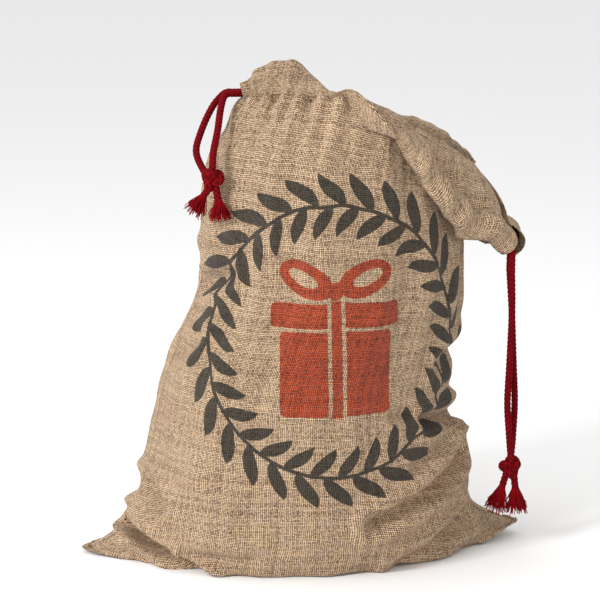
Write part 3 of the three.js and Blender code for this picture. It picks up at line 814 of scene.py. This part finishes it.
def turned_points(layer, level, turn, side):
    """The turned-down hem: over a round fold, down close to the body, and back up in front
    of the cords as far as the stitch line."""
    neck = body_point(np.ones_like(turn), angle_at(turn, side))
    ripple = 0.0028 * np.sin(np.radians(turn * 34)) + 0.0020 * np.sin(np.radians(turn * 19 + 70))
    ripple = ripple * smooth_step(COLLAR_END, 135, turn)
    if layer == "outer":
        fold = np.clip(level / FOLD_SHARE, 0, 1) * math.pi
        down = np.clip((level - FOLD_SHARE) / (1 - FOLD_SHARE), 0, 1)
        outward = cuff_swell(turn, down) - HEM_ROOM / 2 + ripple * down
        hanging = cuff_point(turn, side, cuff_drop(turn) * (1 - down), outward)
        over = body_point(np.ones_like(turn), angle_at(turn, side), -0.0055 * (1 - np.cos(fold)))
        over[..., 2] += 0.0075 * np.sin(fold)
        share = smooth_step(0.8, 1.0, level / FOLD_SHARE)[..., None]
        return over * (1 - share) + hanging * share, neck
    height = (1 - level) * np.minimum(HEM_HEIGHT, cuff_drop(turn) - 0.006)
    bow = (HEM_ROOM + 0.0035) * np.clip(np.sin(math.pi * level), 0, 1) ** 0.55
    outward = cuff_swell(turn, 1 - height / cuff_drop(turn)) + bow - HEM_ROOM / 2 + 0.0004 + ripple
    return cuff_point(turn, side, height, outward), neck


def lean_in(out, up, turn, side):
    """Tips the standing hem over the mouth: the front one more and more towards the fold."""
    lean = np.radians(FLOP[side]) * (smooth_step(24, 66, turn) if side == FRONT else 1)
    return out * np.cos(lean) - up * np.sin(lean), out * np.sin(lean) + up * np.cos(lean)


def hem_layer(side, layer):
    """One layer of a panel's hem. Upright and turned-down shapes are joined by swinging the
    line from the neck to each point outwards over the fold."""
    levels = np.linspace(0, 1, HEM_ROWS)
    if layer == "inner":
        levels = levels[::-1]
    level = levels[:, None]
    share = np.linspace(0, 1, COLUMNS)[None, :]
    cut = RIGHT_EXIT_TURN - RIGHT_GAP if side == FRONT else 360 - RIGHT_EXIT_TURN - RIGHT_GAP
    hem_turn = LEFT_GAP + (cut - LEFT_GAP) * share
    open_share = smooth_step(0.0, 0.35, level) if layer == "outer" else np.ones_like(level)
    turn = seam_turn(share, side, np.ones_like(level)) * (1 - open_share) + hem_turn * open_share
    level = np.broadcast_to(level, turn.shape)
    turned, neck = turned_points(layer, level, turn, side)
    angle = np.radians(angle_at(turn, side))
    heading = np.stack([np.cos(angle), np.sin(angle)], -1)
    away = turned - neck
    turned_out = (away[..., :2] * heading).sum(-1)
    sideways = away[..., :2] - heading * turned_out[..., None]
    out, up = upright_profile(layer, level)
    pleat = 0.0026 * pleat_wave(turn)
    lean = 0.004 * np.sin(np.radians(turn * 9)) * level ** 2
    out = out + (pleat * (0.4 + 0.6 * level) + lean) * smooth_step(0, 0.2, level)
    tall = 1 - 0.60 * np.exp(-((turn - LEFT_GAP) / 13) ** 2) + 0.05 * np.sin(np.radians(turn * 9.2 + 20))
    out, up = lean_in(out, up * tall, turn, side)
    share_over = smooth_step(*TURNING[side], turn)
    swing = np.arctan2(up, out) * (1 - share_over) + np.arctan2(away[..., 2], turned_out) * share_over
    reach = np.hypot(up, out) * (1 - share_over) + np.hypot(away[..., 2], turned_out) * share_over
    upright = np.exp(-((share_over - 0.27) / 0.19) ** 2) * smooth_step(0.0, 0.10, share_over)
    tucked = 0.84 if side == FRONT else 0.2
    reach = reach * (1 - 0.20 * np.sin(math.pi * share_over)) * (1 - tucked * upright)
    points = neck.copy()
    points[..., :2] += heading * (reach * np.cos(swing))[..., None] + sideways * share_over[..., None]
    points[..., 2] += reach * np.sin(swing)
    return points


def resample_grid(values, rows, columns):
    """A grid of vectors stretched to another size by straight interpolation."""
    row = np.linspace(0, values.shape[0] - 1, rows)
    column = np.linspace(0, values.shape[1] - 1, columns)
    low_row = np.minimum(row.astype(int), values.shape[0] - 2)
    low_column = np.minimum(column.astype(int), values.shape[1] - 2)
    row_share = (row - low_row)[:, None, None]
    column_share = (column - low_column)[None, :, None]

    def between_columns(picked):
        """The picked rows, stretched sideways."""
        left, right = values[picked][:, low_column], values[picked][:, low_column + 1]
        return left * (1 - column_share) + right * column_share

    return between_columns(low_row) * (1 - row_share) + between_columns(low_row + 1) * row_share


# ---------- cloth simulation ----------
SETTLE_COLUMNS = 76
SETTLE_ROWS = 84
SETTLE_FRAMES = 22
SETTLE_CAP = 0.0095       # the farthest that a point may move
LINEN_SETTINGS = {
    "quality": 6,
    "mass": 0.25,
    "tension_stiffness": 22,
    "compression_stiffness": 22,
    "shear_stiffness": 8,
    "bending_stiffness": 0.35,
    "vertex_group_mass": "held",
    "pin_stiffness": 0.9,
    "shrink_min": -0.085,     # the cloth is this much larger than the form it is held to
}


def smooth_grid(values, passes):
    """Averages each inner point with its four neighbours, several times."""
    for _ in range(passes):
        middle = values[1:-1, 1:-1]
        around = values[:-2, 1:-1] + values[2:, 1:-1] + values[1:-1, :-2] + values[1:-1, 2:]
        values = values.copy()
        values[1:-1, 1:-1] = middle * 0.4 + around * 0.15
    return values


def settle(material):
    """Cloth simulation of both walls as one loop: the cloth is a little larger than the form it
    is held to, so it buckles into wrinkles. Gives how far each point moved, for each panel."""
    front, _ = wall_grid(FRONT, SETTLE_COLUMNS, SETTLE_ROWS)
    back, _ = wall_grid(BACK, SETTLE_COLUMNS, SETTLE_ROWS)
    loop = np.concatenate([front, back[:, -2:0:-1]], axis=1)
    rows, around = loop.shape[:2]
    faces = grid_faces(rows, around, around=True).tolist()
    made = make_object("settling_cloth", loop.reshape(-1, 3), faces, material)
    level = np.repeat(np.linspace(0, 1, rows), around)
    held = 0.10 + 0.90 * (1 - smooth_step(0.0, 0.05, level)) + 0.90 * smooth_step(0.93, 1.0, level)
    group = made.vertex_groups.new(name="held")
    for index, weight in enumerate(np.minimum(held, 1.0).tolist()):
        group.add([index], weight, "REPLACE")
    cloth = made.modifiers.new("cloth", "CLOTH")
    for setting, value in LINEN_SETTINGS.items():
        setattr(cloth.settings, setting, value)
    cloth.settings.effector_weights.gravity = 0.6
    cloth.collision_settings.use_collision = False
    cloth.point_cache.frame_start, cloth.point_cache.frame_end = 1, SETTLE_FRAMES
    for number in range(1, SETTLE_FRAMES + 1):
        bpy.context.scene.frame_set(number)
    evaluated = made.evaluated_get(bpy.context.evaluated_depsgraph_get())
    moved = np.empty(rows * around * 3)
    evaluated.data.vertices.foreach_get("co", moved)
    moved = moved.reshape(rows, around, 3) - loop
    bpy.data.objects.remove(made)
    bpy.context.scene.frame_set(1)
    size = np.linalg.norm(moved, axis=-1, keepdims=True)
    moved = moved * np.minimum(1, SETTLE_CAP / np.maximum(size, 1e-9))
    front_part = moved[:, :SETTLE_COLUMNS]
    back_part = np.concatenate([moved[:, :1], moved[:, :SETTLE_COLUMNS - 2:-1]], axis=1)
    return {FRONT: smooth_grid(front_part, 1), BACK: smooth_grid(back_part, 1)}


def panel_points(side, moved):
    """The whole sheet of one panel: base, wall, the hem's outer layer and its turned layer."""
    wall, turn = wall_grid(side, COLUMNS, WALL_ROWS)
    if moved is not None:
        wall = wall + resample_grid(moved[side], WALL_ROWS, COLUMNS)
    wall[..., 2] = np.maximum(wall[..., 2], LOWEST)
    plain_neck = body_point(np.ones(COLUMNS), angle_at(turn[-1], side))
    outer = hem_layer(side, "outer")
    carry = wall[-1] - plain_neck
    fade = np.exp(-np.linspace(0, 1, HEM_ROWS) / 0.12)[:, None, None]
    outer = outer + (carry - (outer[0] - plain_neck))[None] * fade
    hem = np.concatenate([wall[-1:], outer[1:], hem_layer(side, "inner")[1:]])
    twisted = fading_window(np.linspace(0, 180, COLUMNS)[None, :, None], 48, 112)
    hem = hem * (1 - twisted) + smooth_grid(hem, 40) * twisted
    return raise_ears(np.concatenate([base_grid(wall[0]), wall, hem[1:]]))


def cloth_uv(points, side):
    """Thread coordinates: the width of the cut panel, and the length run up the sheet. Below
    the neck that is the rows' mean; in the hem each column has its own, evened out sideways."""
    columns = points.shape[1]
    neck = BASE_ROWS + WALL_ROWS - 1
    steps = np.linalg.norm(np.diff(points, axis=0), axis=-1)
    spread = np.pad(steps[neck:], ((0, 0), (7, 7)), mode="edge")
    even = np.stack([np.convolve(row, np.ones(15) / 15, mode="valid") for row in spread])
    steps = np.concatenate([np.broadcast_to(steps[:neck].mean(axis=1)[:, None], (neck, columns)), even])
    run = np.concatenate([np.zeros((1, columns)), np.cumsum(steps, axis=0)])
    across = np.linspace(0, FLAT_SIZE[0], columns)[None, :] + (0.6 if side == BACK else 0)
    return np.stack(np.broadcast_arrays(across, run), -1)


def print_uv(rows):
    """Coordinates of the print, taken from the wall without its folds: length along the cloth
    from the middle of the print, and height. Outside the wall there is no print."""
    plain, _ = wall_grid(FRONT, COLUMNS, WALL_ROWS, detailed=False)
    length = np.linalg.norm(np.diff(plain[..., :2], axis=1), axis=-1)
    run = np.concatenate([np.zeros((WALL_ROWS, 1)), np.cumsum(length, axis=1)], axis=1)
    rows_of = zip(plain[..., 0], run)
    middle = np.array([np.interp(PRINT_CENTRE[0], row_x, row_run) for row_x, row_run in rows_of])
    values = np.ones((rows, COLUMNS, 2))
    values[BASE_ROWS:BASE_ROWS + WALL_ROWS, :, 0] = run - middle[:, None]
    values[BASE_ROWS:BASE_ROWS + WALL_ROWS, :, 1] = plain[..., 2] - PRINT_CENTRE[1]
    return values


def add_panel(name, side, material, moved, nodes):
    """A panel as one sheet with thickness, from the bottom seam to the end of its turned hem."""
    points = panel_points(side, moved)
    faces = grid_faces(*points.shape[:2])
    if side == BACK:
        faces = faces[:, ::-1]
    made = make_object(name, points.reshape(-1, 3), faces.tolist(), material)
    add_uv(made, "cloth", cloth_uv(points, side))
    if side == FRONT:
        add_uv(made, "print", print_uv(len(points)))
    wall = made.modifiers.new("thickness", "SOLIDIFY")
    wall.thickness = CLOTH
    wall.offset = -1
    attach(made, "sack")
    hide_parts(*nodes)
    return made, points


def add_seam(name, path, material, radius):
    """A seam's ridge: a thin bead along the edge where the panels meet, pinched at each stitch."""
    corners = 8
    turn = np.linspace(0, 2 * math.pi, corners, endpoint=False)
    even, run = resample(path[::4], 0.003)
    stitches = 0.8 + 0.35 * np.abs(np.sin(run[:, None] * 900))
    made = tube(name, even, np.broadcast_to(radius * stitches, (len(even), corners)), material)
    add_uv(made, "cloth", np.stack(np.broadcast_arrays(turn[None] * radius, run[:, None]), -1))
    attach(made, "sack")
    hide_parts(name)


# ---------- cords ----------
EXIT_SPREAD = CORD / 2 + 0.0014     # from the middle of the exit to each cord's middle
EXIT_STUB = 0.006         # how far under the cuff's edge the right cords appear
LEAD_LENGTH = 0.009
SWING_GAP = 0.0006        # between a lead and its strand
LEFT_EXIT_RISE = 0.0018 + 0.0035 + CORD / 2     # gap over the neck, hem's floor, half a cord
HIDDEN_STRETCH = 0.014    # a lead reaches this far back inside the hem


def left_exit(side):
    """Where a left cord leaves the collar's hem."""
    neck = body_point(np.array(1.0), np.array(180.0))
    return np.array([neck[0], side * EXIT_SPREAD, neck[2] + LEFT_EXIT_RISE])


def right_exit(side):
    """Where a right cord leaves the cuff's lower edge."""
    angle = 180 + RIGHT_EXIT_TURN
    rise = rise_below_neck(np.array([angle]), np.array([CUFF_LONG]))[0]
    edge = body_point(rise, np.array(angle), -(CUFF_STAND_OFF + CUFF_FLARE))
    return edge + np.array([0, side * EXIT_SPREAD, -EXIT_STUB])


# Points of each strand from the outer end of its lead to the knot, in millimetres.
STRANDS = {
    ("left", FRONT): [(0, 0, 0), (-3, 0, 0), (-8, -3, -3), (-13, -16, -14), (-18, -33, -33),
                      (-24, -48, -52), (-26, -57, -64.2)],
    ("left", BACK): [(0, 0, 0), (-3, 0, 0), (-9, -2, -3), (-20, -10, -14), (-32, -24, -34),
                     (-40, -41, -54), (-35, -56, -70)],
    ("right", FRONT): [(0, 0, 0), (0, 0, -4), (1, 0, -45), (-0.5, 0, -100), (-2, 0, -145),
                       (0.5, 0, -180), (2.7, 0, -204)],
    ("right", BACK): [(0, 0, 0), (0, 0, -4), (3, 0, -45), (5.8, 0, -100), (8.2, 0, -145),
                      (7.2, 0, -180), (5.7, 0, -204)],
}
KNOT_OFFSET = {"left": (-27, -62, -79), "right": (3.7, 0, -218)}
OUTWARD = {"left": np.array([-1.0, 0, 0]), "right": np.array([0, 0, -1.0])}
EXITS = {"left": left_exit, "right": right_exit}
SIDE_NAMES = {FRONT: "front", BACK: "back"}


def add_knot(name, centre, material, lean):
    """An overhand knot: a cord of two strands' width along a trefoil, drawn tight and upright."""
    turn = np.linspace(0, 2 * math.pi, 150)
    loop = np.stack([np.sin(turn) + 1.9 * np.sin(2 * turn), np.cos(turn) - 1.9 * np.cos(2 * turn),
                     -1.5 * np.sin(3 * turn)], -1)
    size = np.array([0.0027, 0.0026, 0.0031])
    shaped = np.stack([loop[:, 0] * size[0], loop[:, 2] * size[1], loop[:, 1] * size[2]], -1)
    cosine, sine = math.cos(lean), math.sin(lean)
    x = shaped[:, 0] * cosine - shaped[:, 2] * sine
    z = shaped[:, 0] * sine + shaped[:, 2] * cosine
    path = np.stack([x, shaped[:, 1], z], -1) + centre
    made, _, _ = braided(name, path, material, CORD * 0.66)
    return made


THREADS = 130             # in one frayed end
THREAD_RADIUS = 0.00068


def add_tail(name, start, direction, length, material, seed):
    """A short end of cord that opens into loose threads: each thread is a thin tube that
    leaves the cut end, spreads and curls a little."""
    draw = np.random.default_rng(seed)
    heading = np.array(direction, float) / np.linalg.norm(direction)
    bend = draw.uniform(-0.10, 0.10, 3)
    solid = length * 0.30
    knot_end = start - heading * 0.009
    stem_share = np.linspace(0, 1, 7)[:, None]
    stem = knot_end + heading * (solid + 0.009) * stem_share + bend * 0.01 * stem_share ** 2
    made, path, _ = braided(name, stem, material, CORD * 0.52)
    cut = path[-1]
    side = np.cross(heading, (0.2, 1.0, 0.1))
    side /= np.linalg.norm(side)
    up = np.cross(heading, side)
    vertices, faces = [], []
    corners, steps = 4, 9
    turn = np.linspace(0, 2 * math.pi, corners, endpoint=False)
    ring = side[None] * np.cos(turn)[:, None] + up[None] * np.sin(turn)[:, None]
    share = np.linspace(0, 1, steps)[:, None]
    thickness = THREAD_RADIUS * (1 - 0.45 * share)
    sag = np.array([0, 0, -0.0015]) * share ** 2
    for _ in range(THREADS):
        place = draw.uniform(0, 2 * math.pi)
        off = CORD * 0.42 * math.sqrt(draw.uniform(0, 1))
        spread = side * math.cos(place) + up * math.sin(place)
        reach = (length - solid) * draw.uniform(0.65, 1.12)
        curl = draw.uniform(-1, 1, 3) * 0.0022 * np.sin(share * draw.uniform(2, 6)) * share
        opening = spread * (off * 1.7 + 0.0034) * share ** 1.1
        line = cut - heading * 0.002 + spread * off + heading * reach * share + opening + curl + sag
        faces.append(grid_faces(steps, corners, around=True) + len(vertices) * steps * corners)
        vertices.append((line[:, None] + ring[None] * thickness[..., None]).reshape(-1, 3))
    every_face = np.concatenate(faces).tolist()
    threads = make_object(f"{name}_threads", np.concatenate(vertices), every_face, material)
    add_uv(threads, "cord", np.zeros((len(threads.data.vertices), 2)))
    return made, threads


# Name, place under the knot in millimetres, direction and length of each tail.
TAILS = {
    "left": [("outer", (-6, -1, -12.5), (-0.55, 0.1, -0.85), 0.027),
             ("inner", (4, -3, -13.5), (0.1, -0.1, -1), 0.027)],
    "right": [("inner", (-6, 0, -12.8), (-0.3, 0, -0.95), 0.037),
              ("outer", (4.5, 0, -13.4), (0.05, 0, -1), 0.037)],
}


def add_strand(which, side, start, centre, material):
    """A strand from the outer end of its lead into the knot."""
    outward = OUTWARD[which]
    route = start + np.array(STRANDS[which, side]) * MM
    into_knot = centre + (route[-1] - centre) * 0.55
    route = np.concatenate([[start - outward * 0.0015], route[1:], [into_knot]])
    strand, path, length = braided(f"{which}_pull_strand_{SIDE_NAMES[side]}", route, material)
    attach(strand, f"{which}_pull")
    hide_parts(f"{which}_strand_{SIDE_NAMES[side]}")


def add_lead(which, side, leaves, material):
    """The short straight length of cord that slides out of the hem."""
    outward = OUTWARD[which]
    back_end = leaves - outward * HIDDEN_STRETCH
    inside = np.linspace(0, 1, 6)[:, None]
    route = back_end + (leaves + outward * (LEAD_LENGTH + 0.001) - back_end) * inside
    lead, _, _ = braided(f"{which}_draw_lead_{SIDE_NAMES[side]}", route, material)
    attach(lead, f"{which}_draw")
    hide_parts(f"{which}_lead_{SIDE_NAMES[side]}")


def add_pull(which, material):
    """Both ends of one drawcord: leads in the hem, strands, the knot and its two frayed tails."""
    outward = OUTWARD[which]
    pull = f"{which}_pull"
    exits = {side: EXITS[which](side) for side in (FRONT, BACK)}
    middle = (exits[FRONT] + exits[BACK]) / 2 + outward * LEAD_LENGTH
    centre = middle + np.array(KNOT_OFFSET[which]) * MM
    knot = add_knot(f"{which}_pull_knot", centre, material, 0.35 if which == "right" else -0.3)
    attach(knot, pull)
    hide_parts(f"{which}_knot")
    on_cord = [knot]
    for seed, (label, start, direction, length) in enumerate(TAILS[which]):
        made, threads = add_tail(f"{which}_frayed_tail_{label}", centre + np.array(start) * MM, direction,
                                 length, material, 40 + seed + 10 * (which == "right"))
        threads.parent = made
        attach(made, pull)
        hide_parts(f"{which}_tail_{label}")
        on_cord += [made, threads]
    for side in (FRONT, BACK):
        start = exits[side] + outward * (LEAD_LENGTH + SWING_GAP)
        add_strand(which, side, start, centre, material)
        add_lead(which, side, exits[side], material)


def channel_line(side, level):
    """The middle of a hem's channel at one level of its turned layer, half way from that layer
    to the nearest point of the outer layer in the same column, and the room round it. Where
    the hem twists over, it is drawn flat against the neck instead."""
    inner = hem_layer(side, "inner")[int(round((1 - level) * (HEM_ROWS - 1)))]
    outer = hem_layer(side, "outer")
    nearest = np.linalg.norm(outer - inner[None], axis=-1).argmin(axis=0)
    facing = outer[nearest, np.arange(len(nearest))]
    room = np.linalg.norm(facing - inner, axis=-1, keepdims=True) / 2 - 1.5 * CLOTH
    turn = np.linspace(LEFT_GAP, 180 - RIGHT_GAP, len(inner))
    crossing = fading_window(turn, 50, 108)[:, None]
    beneath = body_point(np.ones_like(turn), angle_at(turn, side), 0.005) - np.array([0, 0, 0.006])
    line = smooth_line((inner + facing) / 2 * (1 - crossing) + beneath * crossing)
    radius = np.clip(smooth_line(room) * 0.8, 0.0008, CORD * 0.30)
    radius = radius * (1 - crossing) + 0.0003 * crossing
    return np.concatenate([line, radius], axis=1)[4:-4:4]


def smooth_line(points):
    """Averages a line of points over its neighbours, keeping both ends."""
    kernel = np.ones(5) / 5
    padded = np.pad(points, ((2, 2), (0, 0)), mode="edge")
    return np.stack([np.convolve(column, kernel, mode="valid") for column in padded.T], -1)


def hem_cord_route(which):
    """The hidden run of a drawcord through the front channel and back through the rear one."""
    level = 0.28 if which == "left" else 0.62
    front, back = channel_line(FRONT, level), channel_line(BACK, level)
    if which == "left":
        return np.concatenate([front, back[::-1]])
    return np.concatenate([front[::-1], back])


def add_hem_cords(material):
    """Both cords inside the hem, thinner than outside so that none shows through the cloth."""
    for which in ("left", "right"):
        route = hem_cord_route(which)
        made, _, _ = braided(f"{which}_hem_cord", route[:, :3], material, route[:, 3], 0.003)
        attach(made, "sack")
        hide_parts(f"{which}_cord_in_hem")


# ---------- the whole sack ----------
add_camera()
add_studio()
red_cotton = cotton("red_cotton_braid")
add_pull("left", red_cotton)
add_pull("right", red_cotton)
add_hem_cords(red_cotton)

weave = weave_group()
printed_linen = linen("printed_linen", weave, printed=True)
plain_linen = linen("plain_linen", weave)
seam_linen = linen("seam_linen", weave, darker=0.16)
settled = settle(plain_linen)
front, front_points = add_panel("front_cloth", FRONT, printed_linen, settled,
                                ("front_panel", "front_collar_hem", "front_cuff_hem"))
back, _ = add_panel("back_cloth", BACK, plain_linen, settled,
                    ("back_panel", "back_collar_hem", "back_cuff_hem"))
wall_end = BASE_ROWS + WALL_ROWS
add_seam("left_side_seam", front_points[BASE_ROWS:wall_end, 0], seam_linen, 0.0011)
add_seam("right_side_seam", front_points[BASE_ROWS:wall_end, -1], seam_linen, 0.0011)
add_seam("bottom_seam", front_points[0], seam_linen, 0.0009)
